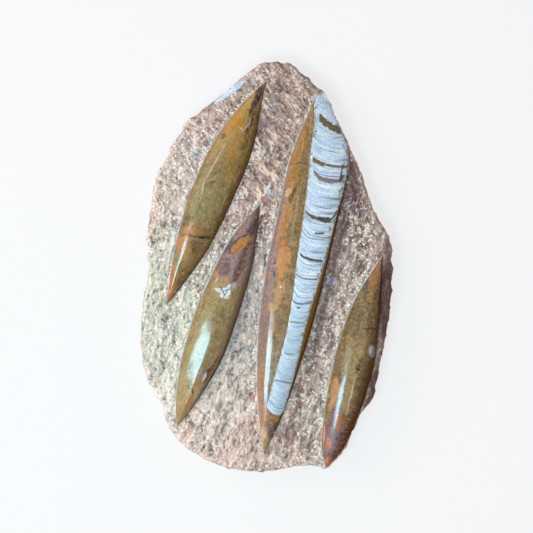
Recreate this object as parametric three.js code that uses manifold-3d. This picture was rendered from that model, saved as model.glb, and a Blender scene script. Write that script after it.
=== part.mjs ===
// A fossil plate in millimetres, lying on its back, +Z up, with +Y towards its narrow head.
// Four orthoceras specimens, each ground to a polished spindle, stand out of a slab of the
// limestone they lay in. The longest spindle shows its white chambered shell, let into its
// crown, and a sliver of a fifth shell crops out of the rim at the head end.
// The origin is at the middle of the plate's bounding box, on the flat back.
import * as THREE from "three";
import { mergeVertices } from "three/addons/utils/BufferGeometryUtils.js";
import Module from "manifold-3d";

const wasm = await Module();
wasm.setup();

// Driving dimensions.
const MATRIX_Z = 24; // the carved ground between the spindles
const LEFT_FALL = 4; // how far that ground drops towards the left edge
const FALL_START = 45; // the drop begins this far left of the middle
const FALL_WIDTH = 65;
const RIM_DROP = 5; // the rounded rim ends this far below the ground
const GAP = 0.35; // clearance round every piece that is let into another
const SHELL_GAP = 0.5; // the same, round the chambered shell, whose facets turn more sharply
const TIP_GAP = 1.5; // the same, off a pointed tip
const ROOT_DEPTH = 6; // how far a spindle is let into the slab
const CROWN_EXPONENT = 2.4; // section at mid length: 2 is a half ellipse, more has steeper sides
const TIP_EXPONENT = 1.4; // section at the tips, where the flanks meet in a keel
const ROOT_EXPONENT = 6; // a nearly square underside
const CROWN_TAPER = 0.7; // power of a half sine: less keeps the height nearer to the tips
const ROOT_TAPER = 0.4; // the same for the root, as a power of the crown's height
const SHELL_TAPER = 0.3; // and for the chambered shell's depth
const SHELL_DEPTH = 0.5; // how far the chambered shell goes down, as a share of its spindle
const SHELL_WIDEST = 1 / 3; // it is widest this share of its depth below the crown
const PRISM_HEIGHT = 60; // clears the highest crown
const SLAB_STEPS = 120;
const SPINDLE_STATIONS = 24;
const SPINDLE_SECTION = 16;

// The slab's outline, anticlockwise from the top of the head.
const SLAB_OUTLINE = [
  [11, 180], [0, 179.6], [-10.5, 174.8], [-21, 165.8], [-34, 154.2], [-50, 142.5], [-62, 133.5],
  [-71.5, 125], [-75.5, 116], [-82, 107], [-87, 96], [-94, 84.5], [-98, 72.5],
  [-102, 46], [-105, 24.5], [-103.6, 15], [-103.2, -9], [-106.5, -21.5], [-109.5, -45],
  [-110.3, -65], [-108.7, -82.5], [-105, -97.5], [-100, -109.5], [-91.5, -121.5], [-88.8, -132],
  [-83.2, -145], [-77.5, -152.5], [-70.5, -158.8], [-55.3, -168.2], [-40.8, -174.8],
  [-23.5, -178.8], [-6, -180.2], [13, -177.8], [25, -175.3], [35, -174.2], [44, -175.2],
  [52.4, -178], [58, -172.3], [65, -164.8], [71, -155], [73.6, -148], [78.4, -138.4],
  [83.2, -128.4], [91.4, -119], [95.2, -106.2], [99, -87.2], [103.8, -65.6], [107.6, -41],
  [110.2, 2], [108.6, 21.8], [101.3, 36.4], [95.2, 46], [90.4, 59.3], [83.6, 79.8],
  [72.6, 105.3], [60, 132.8], [49.4, 154.2], [44.4, 157.4], [38.4, 163.4], [29.8, 170.8],
  [20.2, 177.7],
];

// The slab's profile from the middle of its face, over the rim, to the middle of its back:
// [share of the outline, height as a share of the ground's, further drop].
const SLAB_PROFILE = [
  [0, 1, 0], [0.3, 1, 0], [0.55, 1, 0], [0.75, 1, 0], [0.9, 1, 0], [0.97, 1, 0.6],
  [0.99, 1, 2.2], [1, 1, RIM_DROP], [1, 0.45, 0], [0.99, 0.1, 0], [0.975, 0, 0], [0, 0, 0],
];

// Each long piece lies about a straight chord from head to foot. breadths are
// [share of the chord, breadth to the left of it, breadth to the right of it].
const MAIN_SPINDLE = {
  head: [46.2, 155.2], foot: [-2.6, -165.7], crown: 17,
  breadths: [
    [0, 0, 0], [0.06, 5.8, 19], [0.13, 11.6, 32], [0.2, 16.2, 35.6], [0.34, 19.4, 33.2],
    [0.48, 22.2, 30], [0.63, 21.9, 25.3], [0.77, 17.3, 18.6], [0.84, 13.4, 14.4],
    [0.92, 7.4, 8.3], [1, 0, 0],
  ],
};
const UPPER_LEFT_SPINDLE = {
  head: [-0.4, 163.1], foot: [-88, -34.1], crown: 13,
  breadths: [
    [0, 0, 0], [0.12, 10.8, 6], [0.24, 18, 12.3], [0.34, 21.2, 15], [0.46, 21.9, 15.6],
    [0.58, 20.7, 15.4], [0.72, 15.9, 13.6], [0.86, 9, 7.8], [1, 0, 0],
  ],
};
const LOWER_LEFT_SPINDLE = {
  head: [-5.3, 55.2], foot: [-78.9, -141.2], crown: 13,
  breadths: [
    [0, 0, 0], [0.13, 10.9, 6.4], [0.25, 16.2, 12.2], [0.37, 18.7, 14.6], [0.51, 20.7, 16.2],
    [0.63, 19.3, 16.8], [0.73, 17.3, 14.8], [0.83, 12.9, 10.6], [0.92, 7.3, 6.1], [1, 0, 0],
  ],
};
const RIGHT_SPINDLE = {
  head: [101.6, 9.1], foot: [52, -177.3], crown: 13,
  breadths: [
    [0, 0, 0], [0.08, 5.2, 3.7], [0.17, 11, 7.3], [0.27, 15.2, 11.4], [0.37, 16.9, 14.8],
    [0.48, 17.7, 17.2], [0.6, 16.8, 17.4], [0.7, 15.2, 16.4], [0.82, 12, 13.6],
    [0.91, 8.3, 9.4], [1, 0, 0],
  ],
};
const CHAMBERED_SHELL = {
  head: [62.9, 160.4], foot: [7.9, -130.9],
  breadths: [
    [0, 0, 0], [0.03, 14, 15], [0.13, 14.4, 19.2], [0.24, 12.2, 20.6], [0.33, 10, 21.2],
    [0.43, 8.4, 20.6], [0.53, 7.2, 18], [0.63, 5.2, 14.2], [0.74, 4.2, 10.5], [0.84, 6, 8.8],
    [0.95, 8.6, 7], [0.985, 7.6, 5.4], [1, 0, 0],
  ],
};
const RIM_SHELL = {
  head: [-17.5, 164.5], foot: [-53, 139.5], crown: 1.2,
  breadths: [[0, 0, 0], [0.2, 2.6, 3.2], [0.45, 3.4, 3.6], [0.75, 2.2, 2.4], [1, 0, 0]],
};

const smoothStep = (share) => THREE.MathUtils.smoothstep(share, 0, 1);

/** Height of the carved ground at a point of the plate, before any chisel marks. */
function groundHeight(x) {
  return MATRIX_Z - LEFT_FALL * smoothStep((-x - FALL_START) / FALL_WIDTH);
}

/** Superellipse: the across and up shares of a half turn at an angle from 0 to pi. */
function superellipse(angle, exponent) {
  const across = -Math.sign(Math.cos(angle)) * Math.abs(Math.cos(angle)) ** (2 / exponent);
  return { across, up: Math.abs(Math.sin(angle)) ** (2 / exponent) };
}

/** A sphere whose vertices are each moved to place(turn, fall), both from 0 to 1. */
function wrappedSphere(turns, falls, place) {
  const geometry = new THREE.SphereGeometry(1, turns, falls);
  const position = geometry.getAttribute("position");
  for (let i = 0; i < position.count; i++) {
    const turn = (i % (turns + 1)) / turns;
    const fall = Math.floor(i / (turns + 1)) / falls;
    position.setXYZ(i, ...place(turn % 1, fall));
  }
  geometry.deleteAttribute("normal");
  geometry.deleteAttribute("uv");
  return geometry;
}

/** The closed geometry as a manifold-3d solid. */
function solidOf(geometry) {
  const merged = mergeVertices(geometry, 1e-4);
  return new wasm.Manifold(
    new wasm.Mesh({
      numProp: 3,
      vertProperties: new Float32Array(merged.getAttribute("position").array),
      triVerts: new Uint32Array(merged.index.array),
    }),
  );
}

/** A named mesh of a manifold-3d solid. */
function pieceOf(name, solid, colour, roughness) {
  const { numProp, vertProperties, triVerts } = solid.getMesh();
  const corners = new Float32Array(triVerts.length * 3);
  triVerts.forEach((vertex, i) => {
    corners.set(vertProperties.subarray(vertex * numProp, vertex * numProp + 3), i * 3);
  });
  const geometry = new THREE.BufferGeometry();
  geometry.setAttribute("position", new THREE.BufferAttribute(corners, 3));
  geometry.computeVertexNormals();
  const mesh = new THREE.Mesh(
    geometry,
    new THREE.MeshStandardMaterial({ color: colour, roughness, metalness: 0 }),
  );
  mesh.name = name;
  return mesh;
}

const outlineCurve = new THREE.CatmullRomCurve3(
  SLAB_OUTLINE.map(([x, y]) => new THREE.Vector3(x, y, 0)),
  true,
  "centripetal",
);
const outlinePoints = outlineCurve.getSpacedPoints(SLAB_STEPS).slice(0, SLAB_STEPS);

/** The slab before its sockets are cut. */
function slabSolid() {
  const falls = SLAB_PROFILE.length - 1;
  return solidOf(
    wrappedSphere(SLAB_STEPS, falls, (turn, fall) => {
      const [share, heightShare, drop] = SLAB_PROFILE[Math.round(fall * falls)];
      const edge = outlinePoints[Math.round(turn * SLAB_STEPS)];
      const x = edge.x * share;
      return [x, edge.y * share, groundHeight(x) * heightShare - drop];
    }),
  );
}

/** Everything that stands inside the slab's outline, from the back to above the crowns. */
function insideOutline() {
  const shape = new THREE.Shape(outlinePoints.map((p) => new THREE.Vector2(p.x, p.y)));
  const prism = new THREE.ExtrudeGeometry(shape, { depth: PRISM_HEIGHT, bevelEnabled: false });
  prism.deleteAttribute("normal");
  prism.deleteAttribute("uv");
  return solidOf(prism);
}

/** The chord's ends, and the directions along it and to its right. */
function axesOf(head, foot) {
  const start = new THREE.Vector2(...head);
  const end = new THREE.Vector2(...foot);
  const along = end.clone().sub(start).normalize();
  return { start, end, along, right: new THREE.Vector2(-along.y, along.x) };
}

/** How nearly the crown has its full height at a share of its length: 0 at either tip. */
function fullnessAt(share) {
  return share <= 0 || share >= 1 ? 0 : Math.sin(Math.PI * share) ** CROWN_TAPER;
}

/** The crown's section exponent where it has that fullness. */
function crownExponent(fullness) {
  return THREE.MathUtils.lerp(TIP_EXPONENT, CROWN_EXPONENT, fullness);
}

/** The chord of a long piece: a point on it, and the breadths there, each grown by grow. */
function chordOf({ head, foot, breadths }, grow) {
  const { start, end, along, right } = axesOf(head, foot);
  start.addScaledVector(along, grow ? -TIP_GAP : 0);
  end.addScaledVector(along, grow ? TIP_GAP : 0);
  const interpolant = new THREE.CubicInterpolant(
    breadths.map(([share]) => share),
    breadths.flatMap(([, left, rightward]) => [left, rightward]),
    2,
  );
  return (share) => {
    const [leftBreadth, rightBreadth] = interpolant.evaluate(share);
    const atTip = share === 0 || share === 1;
    return {
      middle: start.clone().lerp(end, share),
      right,
      left: atTip ? 0 : Math.max(leftBreadth, 0) + grow,
      rightward: atTip ? 0 : Math.max(rightBreadth, 0) + grow,
      fullness: fullnessAt(share),
    };
  };
}

/** A ground spindle: a domed crown over a square root, drawn out to a point at each end. */
function spindleSolid(spec, grow = 0) {
  const chordAt = chordOf(spec, grow);
  return solidOf(
    wrappedSphere(SPINDLE_SECTION, SPINDLE_STATIONS, (turn, fall) => {
      const share = (1 - Math.cos(Math.PI * fall)) / 2;
      const { middle, right, left, rightward, fullness } = chordAt(share);
      const ground = groundHeight(middle.x);
      const crowned = turn < 0.5;
      const angle = 2 * Math.PI * (crowned ? turn : 1 - turn);
      const { across, up } = superellipse(angle, crowned ? crownExponent(fullness) : ROOT_EXPONENT);
      const offset = across * (across < 0 ? left : rightward);
      const root = -(ROOT_DEPTH + grow) * fullness ** ROOT_TAPER;
      const height = crowned ? (spec.crown + grow) * fullness : root;
      return [middle.x + right.x * offset, middle.y + right.y * offset, ground + height * up];
    }),
  );
}

/** How high a spindle's crown stands over the ground at a point inside its outline. */
function crownOver(spec, point) {
  const { start, end, along, right } = axesOf(spec.head, spec.foot);
  const nearestTip = 0.05;
  const nearestEdge = 0.9;
  const fromHead = point.clone().sub(start);
  const share = Math.max(fromHead.dot(along) / start.distanceTo(end), nearestTip);
  const { left, rightward, fullness } = chordOf(spec, 0)(share);
  const offset = fromHead.dot(right);
  const across = Math.min(Math.abs(offset) / (offset < 0 ? left : rightward), nearestEdge);
  const exponent = crownExponent(fullness);
  return spec.crown * fullness * (1 - across ** exponent) ** (1 / exponent);
}

/** What the chambered shell fills: a round-bottomed trough along its spindle's crown. */
function shellTrough(spec, spindle, grow = 0) {
  const chordAt = chordOf(spec, grow);
  const overhead = 2; // it reaches well over the crown, and is cut down to it afterwards
  return solidOf(
    wrappedSphere(SPINDLE_SECTION, SPINDLE_STATIONS, (turn, fall) => {
      const share = (1 - Math.cos(Math.PI * fall)) / 2;
      const { middle, right, left, rightward, fullness } = chordAt(share);
      const crown = crownOver(spindle, middle);
      const depth = fullness ** SHELL_TAPER * (SHELL_DEPTH * (crown + ROOT_DEPTH) + grow);
      const above = turn < 0.5;
      const angle = 2 * Math.PI * (above ? turn : 1 - turn);
      const { across, up } = superellipse(angle, above ? ROOT_EXPONENT : 2);
      const offset = across * (across < 0 ? left : rightward);
      const widest = MATRIX_Z + crown - depth * SHELL_WIDEST;
      const height = depth * up * (above ? overhead : SHELL_WIDEST - 1);
      return [middle.x + right.x * offset, middle.y + right.y * offset, widest + height];
    }),
  );
}

const plate = new THREE.Group();
const inside = insideOutline();
const spindles = {
  main: MAIN_SPINDLE,
  upper_left: UPPER_LEFT_SPINDLE,
  lower_left: LOWER_LEFT_SPINDLE,
  right: RIGHT_SPINDLE,
};

// The slab, with a socket for each specimen.
let slab = slabSolid();
for (const spec of [...Object.values(spindles), RIM_SHELL]) slab = slab.subtract(spindleSolid(spec, GAP));
plate.add(pieceOf("matrix_slab", slab, 0xb9aaa0, 0.95));

// The three spindles that show no shell.
for (const side of ["upper_left", "lower_left", "right"]) {
  const spindle = spindleSolid(spindles[side]).intersect(inside);
  plate.add(pieceOf(`${side}_spindle`, spindle, 0x8f774d, 0.25));
}

// The longest spindle and the shell that it carries, both cut off flush at the slab's edge.
const mainSpindle = spindleSolid(MAIN_SPINDLE).intersect(inside);
const socket = shellTrough(CHAMBERED_SHELL, MAIN_SPINDLE, SHELL_GAP);
const shell = mainSpindle.intersect(shellTrough(CHAMBERED_SHELL, MAIN_SPINDLE));
plate.add(pieceOf("main_spindle", mainSpindle.subtract(socket), 0x9a7440, 0.25));
plate.add(pieceOf("chambered_shell", shell, 0xbfd3e0, 0.5));

// The sliver of shell in the rim.
plate.add(pieceOf("rim_shell", spindleSolid(RIM_SHELL).intersect(inside), 0xd3deea, 0.6));

export default plate;
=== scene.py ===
"""The looks of a limestone plate with polished orthoceras fossils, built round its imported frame.

Lengths in the frame and in the panel are metres; the pieces are worked out in millimetres.
The plate lies on its back, +Z up, with its narrow head towards +Y.
"""

import math

import bpy
import numpy as np
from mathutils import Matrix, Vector
from mathutils.geometry import delaunay_2d_cdt
from mathutils.kdtree import KDTree


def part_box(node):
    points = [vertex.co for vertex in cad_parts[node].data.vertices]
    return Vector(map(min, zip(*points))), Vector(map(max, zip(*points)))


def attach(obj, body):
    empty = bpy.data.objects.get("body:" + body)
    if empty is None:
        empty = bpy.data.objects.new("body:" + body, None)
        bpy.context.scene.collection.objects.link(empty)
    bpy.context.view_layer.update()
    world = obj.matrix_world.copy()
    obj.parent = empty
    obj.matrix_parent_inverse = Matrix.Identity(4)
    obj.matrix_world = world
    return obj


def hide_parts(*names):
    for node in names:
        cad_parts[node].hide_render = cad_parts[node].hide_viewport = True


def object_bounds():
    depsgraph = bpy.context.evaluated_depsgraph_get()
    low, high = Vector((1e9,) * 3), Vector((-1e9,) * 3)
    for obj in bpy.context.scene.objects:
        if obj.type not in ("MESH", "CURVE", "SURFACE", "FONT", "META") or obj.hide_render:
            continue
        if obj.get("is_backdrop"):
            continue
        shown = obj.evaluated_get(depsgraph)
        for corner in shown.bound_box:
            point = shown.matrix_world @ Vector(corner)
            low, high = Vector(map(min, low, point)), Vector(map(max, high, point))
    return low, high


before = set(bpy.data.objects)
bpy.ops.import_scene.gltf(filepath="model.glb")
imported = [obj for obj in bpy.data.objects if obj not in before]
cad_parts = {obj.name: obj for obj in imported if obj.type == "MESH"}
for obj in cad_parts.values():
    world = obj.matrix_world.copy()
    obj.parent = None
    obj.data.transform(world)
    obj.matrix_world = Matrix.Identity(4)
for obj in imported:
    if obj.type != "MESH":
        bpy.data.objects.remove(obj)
CAD_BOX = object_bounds()

bl_info = {
    "name": "Orthoceras plate",
    "version": (1, 0, 0),
    "blender": (4, 5, 0),
    "location": "View3D > Sidebar > Fossil",
    "description": "Carves, polishes and lights a limestone plate of orthoceras fossils",
    "category": "Mesh",
}

MM = 0.001
BODY = "root"
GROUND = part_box("matrix_slab")[1].z / MM  # the carved ground between the spindles
LEFT_FALL = 4.0  # how far it drops towards the left edge
FALL_START = 45.0
FALL_WIDTH = 65.0
WALL_RING = 0.45  # the frame's slab is widest at this share of the ground's height
WALL_LEVELS = 14
STATIONS = 24  # the frame's spindles have a ring of corners at each of these
TUCK = 1.3  # how far the carved ground goes on under a spindle


# ---------------------------------------------------------------- plain sums


def colour(text):
    """A linear RGBA from a hex sRGB colour."""
    parts = [int(text[i : i + 2], 16) / 255 for i in (0, 2, 4)]
    return [c / 12.92 if c <= 0.04045 else ((c + 0.055) / 1.055) ** 2.4 for c in parts] + [1.0]


def smooth_step(low, high, value):
    """0 below low, 1 above high, and an S between them."""
    share = np.clip((value - low) / (high - low), 0, 1)
    return share * share * (3 - 2 * share)


def bump_at(value, middle, width):
    """1 where value is at the middle, and falling to 0 on both sides of it."""
    return np.exp(-((value - middle) ** 2) / width)


def hermite(x, knots, values):
    """A smooth curve through (knots, values), which need not be evenly spaced."""
    knots, values = np.asarray(knots, float), np.asarray(values, float)
    slopes = np.gradient(values, knots)
    x = np.clip(x, knots[0], knots[-1])
    i = np.clip(np.searchsorted(knots, x) - 1, 0, len(knots) - 2)
    width = knots[i + 1] - knots[i]
    t = (x - knots[i]) / width
    return (
        (2 * t**3 - 3 * t**2 + 1) * values[i]
        + (t**3 - 2 * t**2 + t) * width * slopes[i]
        + (3 * t**2 - 2 * t**3) * values[i + 1]
        + (t**3 - t**2) * width * slopes[i + 1]
    )


def ripple(x, y, length, seed):
    """A gentle random swell, about -1 to 1, whose waves are about length long."""
    draws = np.random.default_rng(seed)
    total = np.zeros_like(x, dtype=float)
    for _ in range(7):
        heading, phase = draws.uniform(0, 2 * math.pi, 2)
        wave = length * draws.uniform(0.6, 1.6)
        total += np.sin((x * math.cos(heading) + y * math.sin(heading)) * 2 * math.pi / wave + phase)
    return total / 3.2


def ground_height(x):
    """The carved ground at a place on the plate, before any chisel marks."""
    return GROUND - LEFT_FALL * smooth_step(0, 1, (-x - FALL_START) / FALL_WIDTH)


# ---------------------------------------------------------------- what the frame says


def node_points(*names):
    """The corners of some of the frame's nodes, in millimetres, without doubles."""
    stacks = [[v.co[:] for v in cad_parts[name].data.vertices] for name in names]
    return np.unique(np.round(np.vstack(stacks) / MM, 3), axis=0)


def plate_outline(step):
    """The plate's outline from above, as points a step apart, anticlockwise."""
    points = node_points("matrix_slab")
    ring = points[abs(points[:, 2] - WALL_RING * ground_height(points[:, 0])) < 0.02][:, :2]
    ring = ring[np.argsort(np.arctan2(ring[:, 1], ring[:, 0]))]
    loop = np.vstack([ring[-3:], ring, ring[:4]])
    travel = np.r_[0, np.cumsum(np.hypot(*np.diff(loop, axis=0).T))]
    start, end = travel[3], travel[-4]
    at = np.linspace(start, end, int((end - start) / step), endpoint=False)
    return np.c_[hermite(at, travel, loop[:, 0]), hermite(at, travel, loop[:, 1])]


class Rim:
    """The plate's outline, a little ragged: its points, and which way is outward at each."""

    def __init__(self, step):
        smooth = plate_outline(step)
        onward = np.roll(smooth, -1, axis=0) - np.roll(smooth, 1, axis=0)
        self.outward = np.c_[onward[:, 1], -onward[:, 0]] / np.hypot(*onward.T)[:, None]
        x, y = smooth.T
        ragged = 0.6 * ripple(x, y, 15, 5) + 0.3 * ripple(x, y, 6, 6) + 0.1 * ripple(x, y, 2.6, 7)
        ragged *= 1 - 0.85 * np.exp(-((x - 82) ** 2 + (y - 130) ** 2) / 32**2)  # polished there
        self.points = smooth + self.outward * (ragged + 0.3)[:, None]
        angles = np.arctan2(*self.points.T[::-1])
        order = np.argsort(angles)
        self.angles = angles[order]
        self.radii = np.hypot(*self.points[order].T)

    def reach(self, x, y):
        """How far the rim is from the middle in the direction of each place."""
        return np.interp(np.arctan2(y, x), self.angles, self.radii, period=2 * math.pi)

    def holds(self, x, y):
        """Whether a place is inside the rim."""
        (x1, y1), (x2, y2) = self.points.T, np.roll(self.points, -1, axis=0).T
        crosses = (y1 > y) != (y2 > y)
        at = x1 + (y - y1) * (x2 - x1) / np.where(crosses, y2 - y1, 1)
        return bool((crosses & (at > x)).sum() % 2)

    def pull_in(self, x, y, inset):
        """The same places, with those beyond the rim brought back to just inside it."""
        share = np.minimum(1, (self.reach(x, y) - inset) / np.maximum(np.hypot(x, y), 1e-6))
        return x * share, y * share


class Lie:
    """Where a long piece lies: a chord from head to foot, and its breadths read from the frame."""

    def __init__(self, nodes, head, foot, flats="none"):
        self.flats = flats
        self.head = np.array(head, float)
        chord = np.array(foot, float) - self.head
        self.length = float(np.hypot(*chord))
        self.along = chord / self.length
        self.right = np.array([-self.along[1], self.along[0]])
        points = node_points(*nodes)
        share, offset = self.measure(points[:, 0], points[:, 1])
        rows = [(0.0, 0.0, 0.0, 0.0)]
        for station in range(1, STATIONS):
            at = (1 - math.cos(math.pi * station / STATIONS)) / 2
            ring = abs(share - at) < 3e-4
            if ring.any():
                rise = points[ring, 2].max() - ground_height(self.plan(at, 0.0)[0])
                rows.append((at, -offset[ring].min(), offset[ring].max(), rise))
        rows.append((1.0, 0.0, 0.0, 0.0))
        self.knots, self.lefts, self.rights, self.rises = np.array(rows).T

    def measure(self, x, y):
        """Share of the chord and offset to its right of places on the plate."""
        dx, dy = x - self.head[0], y - self.head[1]
        share = (dx * self.along[0] + dy * self.along[1]) / self.length
        return share, dx * self.right[0] + dy * self.right[1]

    def plan(self, share, offset):
        """The place on the plate that is at a share of the chord and an offset from it."""
        travel = np.asarray(share) * self.length
        return tuple(self.head[i] + travel * self.along[i] + offset * self.right[i] for i in (0, 1))

    def read(self, share, values):
        """One of the chord's columns of values at a share of it, never below 0."""
        return np.maximum(hermite(share, self.knots, values), 0)

    def breadths(self, share):
        """Breadths to the left and to the right of the chord."""
        return self.read(share, self.lefts), self.read(share, self.rights)

    def rise(self, share):
        """How high the crest stands over the ground."""
        return self.read(share, self.rises)


RIM = Rim(0.95)
LIES = {
    "main": Lie(["main_spindle", "chambered_shell"], (46.2, 155.2), (-2.6, -165.7), "main"),
    "upper_left": Lie(["upper_left_spindle"], (-0.4, 163.1), (-88, -34.1), "upper_left"),
    "lower_left": Lie(["lower_left_spindle"], (-5.3, 55.2), (-78.9, -141.2), "lower_left"),
    "right": Lie(["right_spindle"], (101.6, 9.1), (52, -177.3), "right"),
}
SHELL_LIE = Lie(["chambered_shell"], (62.9, 160.4), (7.9, -130.9))
RIM_LIE = Lie(["rim_shell"], (-17.5, 164.5), (-53, 139.5))


# ---------------------------------------------------------------- meshes


def make_mesh(name, points, faces, material, attributes):
    """A smooth mesh object at the origin from points in millimetres."""
    mesh = bpy.data.meshes.new(name)
    mesh.from_pydata([tuple(p) for p in np.asarray(points) * MM], [], faces)
    mesh.polygons.foreach_set("use_smooth", np.ones(len(mesh.polygons), bool))
    for key, values in attributes.items():
        kind, field = ("FLOAT", "value") if values.ndim == 1 else ("FLOAT_VECTOR", "vector")
        layer = mesh.attributes.new(key, kind, "POINT")
        layer.data.foreach_set(field, values.astype(np.float32).ravel())
    mesh.update()
    mesh.materials.append(material)
    piece = bpy.data.objects.new(name, mesh)
    bpy.context.scene.collection.objects.link(piece)
    return piece


def settle(piece, slot, *nodes):
    """The piece rides on the plate and stands for its nodes, which it hides. The slot is not used."""
    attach(piece, BODY)
    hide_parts(*nodes)


def loft(name, material, rings, tips):
    """A closed skin over rings, with a point before and after them. Each ring and tip is
    (corners, "grain", "across"), an array each."""
    around = len(rings[0][0])
    corner = np.arange(len(rings) * around).reshape(-1, around) + 1
    onward = np.roll(corner, -1, axis=1)
    last = corner.size + 1
    faces = np.stack([corner[:-1], corner[1:], onward[1:], onward[:-1]], -1).reshape(-1, 4).tolist()
    faces += [(0, int(a), int(b)) for a, b in zip(corner[0], onward[0])]
    faces += [(last, int(b), int(a)) for a, b in zip(corner[-1], onward[-1])]
    corners, grains, acrosses = zip(tips[0], *rings, tips[1])
    attributes = {"grain": np.vstack(grains), "across": np.concatenate(acrosses)}
    return make_mesh(name, np.vstack(corners), faces, material, attributes)


def grain_along(lie, share, offset):
    """The "grain" of a ring: offset from the chord and travel along it, in millimetres."""
    return np.c_[offset, np.full(len(offset), share * lie.length), np.zeros(len(offset))]


# ---------------------------------------------------------------- wiring of node trees


class Wiring:
    """Adds nodes to a tree and joins them. An input is a value or another node's socket."""

    def __init__(self, tree):
        self.tree = tree

    def put(self, socket, value):
        if isinstance(value, bpy.types.NodeSocket):
            self.tree.links.new(value, socket)
        elif hasattr(socket.default_value, "__len__") and not hasattr(value, "__len__"):
            socket.default_value = [value] * len(socket.default_value)
        else:
            socket.default_value = value

    def add(self, kind, inputs=None, **settings):
        node = self.tree.nodes.new(kind)
        for key, value in settings.items():
            setattr(node, key, value)
        for key, value in (inputs or {}).items():
            self.put(node.inputs[key], value)
        return node

    def math(self, operation, *values, clamp=False):
        inputs = dict(enumerate(values))
        return self.add("ShaderNodeMath", inputs, operation=operation, use_clamp=clamp).outputs[0]

    def plus(self, a, b):
        return self.math("ADD", a, b)

    def minus(self, a, b):
        return self.math("SUBTRACT", a, b)

    def times(self, a, b):
        return self.math("MULTIPLY", a, b)

    def swing(self, value, reach):
        """A value from 0 to 1 as one from -reach / 2 to reach / 2."""
        return self.times(self.minus(value, 0.5), reach)

    def vector(self, operation, *values):
        node = self.add("ShaderNodeVectorMath", dict(enumerate(values)), operation=operation)
        return node.outputs["Value" if operation == "LENGTH" else "Vector"]

    def scaled(self, vector, scale):
        return self.add("ShaderNodeVectorMath", {0: vector, 3: scale}, operation="SCALE").outputs[0]

    def moved(self, point, *pushes):
        """A point pushed about by (noise colour, reach): up to reach / 2 each way."""
        for noise, reach in pushes:
            push = self.scaled(self.vector("SUBTRACT", noise, (0.5, 0.5, 0.5)), reach)
            point = self.vector("ADD", point, push)
        return point

    def flat(self, point):
        return self.vector("MULTIPLY", point, (1.0, 1.0, 0.0))

    def turned(self, vector, angle):
        inputs = {"Vector": vector, "Angle": angle}
        return self.add("ShaderNodeVectorRotate", inputs, rotation_type="Z_AXIS").outputs[0]

    def split(self, vector):
        return self.add("ShaderNodeSeparateXYZ", {0: vector}).outputs

    def attribute(self, name, output="Fac"):
        return self.add("ShaderNodeAttribute", attribute_name=name).outputs[output]

    def ramp(self, value, low, high, to_low=0.0, to_high=1.0):
        """value from low to high becomes to_low to to_high, in an S."""
        inputs = {0: value, 1: low, 2: high, 3: to_low, 4: to_high}
        return self.add("ShaderNodeMapRange", inputs, interpolation_type="SMOOTHSTEP").outputs[0]

    def noise(self, vector, size, detail=2.0, roughness=0.5, seed=0.0):
        """Noise whose lumps are about size long, as (value, colour)."""
        inputs = {"Vector": vector, "W": seed, "Scale": 1 / size}
        inputs |= {"Detail": detail, "Roughness": roughness}
        return self.add("ShaderNodeTexNoise", inputs, noise_dimensions="4D").outputs

    def cells(self, point):
        inputs = {"Vector": point, "Scale": 1.0}
        return self.add("ShaderNodeTexVoronoi", inputs, voronoi_dimensions="2D").outputs

    def choose(self, factor, a, b):
        return self.add("ShaderNodeMix", {0: factor, 2: a, 3: b}, data_type="FLOAT").outputs[0]

    def mix(self, factor, a, b, blend="MIX"):
        inputs = {0: factor, 6: a, 7: b}
        return self.add("ShaderNodeMix", inputs, data_type="RGBA", blend_type=blend).outputs[2]

    def tints(self, tone, *rows):
        """Lays colours over a tone, in order. Each is (value, low, high, strength, colour): it
        isn't there where value is low, and has its full strength where value is high."""
        for value, low, high, strength, tint in rows:
            tone = self.mix(self.ramp(value, low, high, 0.0, strength), tone, colour(tint))
        return tone


def peck_marks(wire, point, spacing, length, breadth, seed):
    """Short strokes of a point chisel: 1 in the middle of a stroke, 0 off it. Length and breadth
    are shares of the spacing. Also gives a number from 0 to 1 that is the same all over a stroke."""
    placed = wire.scaled(point, wire.math("DIVIDE", 1.0, spacing))
    placed = wire.vector("ADD", placed, (seed * 17.3, seed * 5.1, 0.0))
    cells = wire.cells(placed)
    chance = wire.split(cells["Color"])
    away = wire.vector("SUBTRACT", placed, cells["Position"])
    turned = wire.turned(away, wire.times(chance[0], math.pi))
    stroke = wire.vector("MULTIPLY", turned, (1 / length, 1 / breadth, 0.0))
    reach = wire.times(wire.vector("LENGTH", stroke), wire.ramp(chance[1], 0.0, 1.0, 1.9, 0.75))
    return wire.ramp(reach, 1.1, 0.75), chance[2]


def face_shade(wire, point, size):
    """A number from 0 to 1 that is the same all over a face of broken stone about size across."""
    cells = wire.cells(wire.vector("ADD", wire.scaled(point, 1 / size), (3.1, 7.7, 0.0)))
    return wire.split(cells["Color"])[0]


def chisel_run(wire, point, size, detail, roughness, seed):
    """Noise drawn out along the way that the chisel ran: towards the foot, but across to the
    right near the head."""
    values = []
    for turn in (-72, 48):
        drawn = wire.vector("MULTIPLY", wire.turned(point, math.radians(turn)), (0.42, 1.0, 1.0))
        values.append(wire.noise(drawn, size, detail, roughness, seed)[0])
    return wire.choose(wire.ramp(wire.split(point)[1], 50.0, 80.0), *values)


def new_group(name, kind, output, inputs):
    """A node group with an output, (name, kind), and inputs, each (name, kind and a default if it
    has one), with its wiring and the inputs' sockets."""
    tree = bpy.data.node_groups.new(name, kind)
    tree.interface.new_socket(output[0], in_out="OUTPUT", socket_type=f"NodeSocket{output[1]}")
    for label, socket, *default in inputs:
        item = tree.interface.new_socket(label, in_out="INPUT", socket_type=f"NodeSocket{socket}")
        if default:
            item.default_value = default[0]
    wire = Wiring(tree)
    return tree, wire, wire.add("NodeGroupInput").outputs


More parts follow.
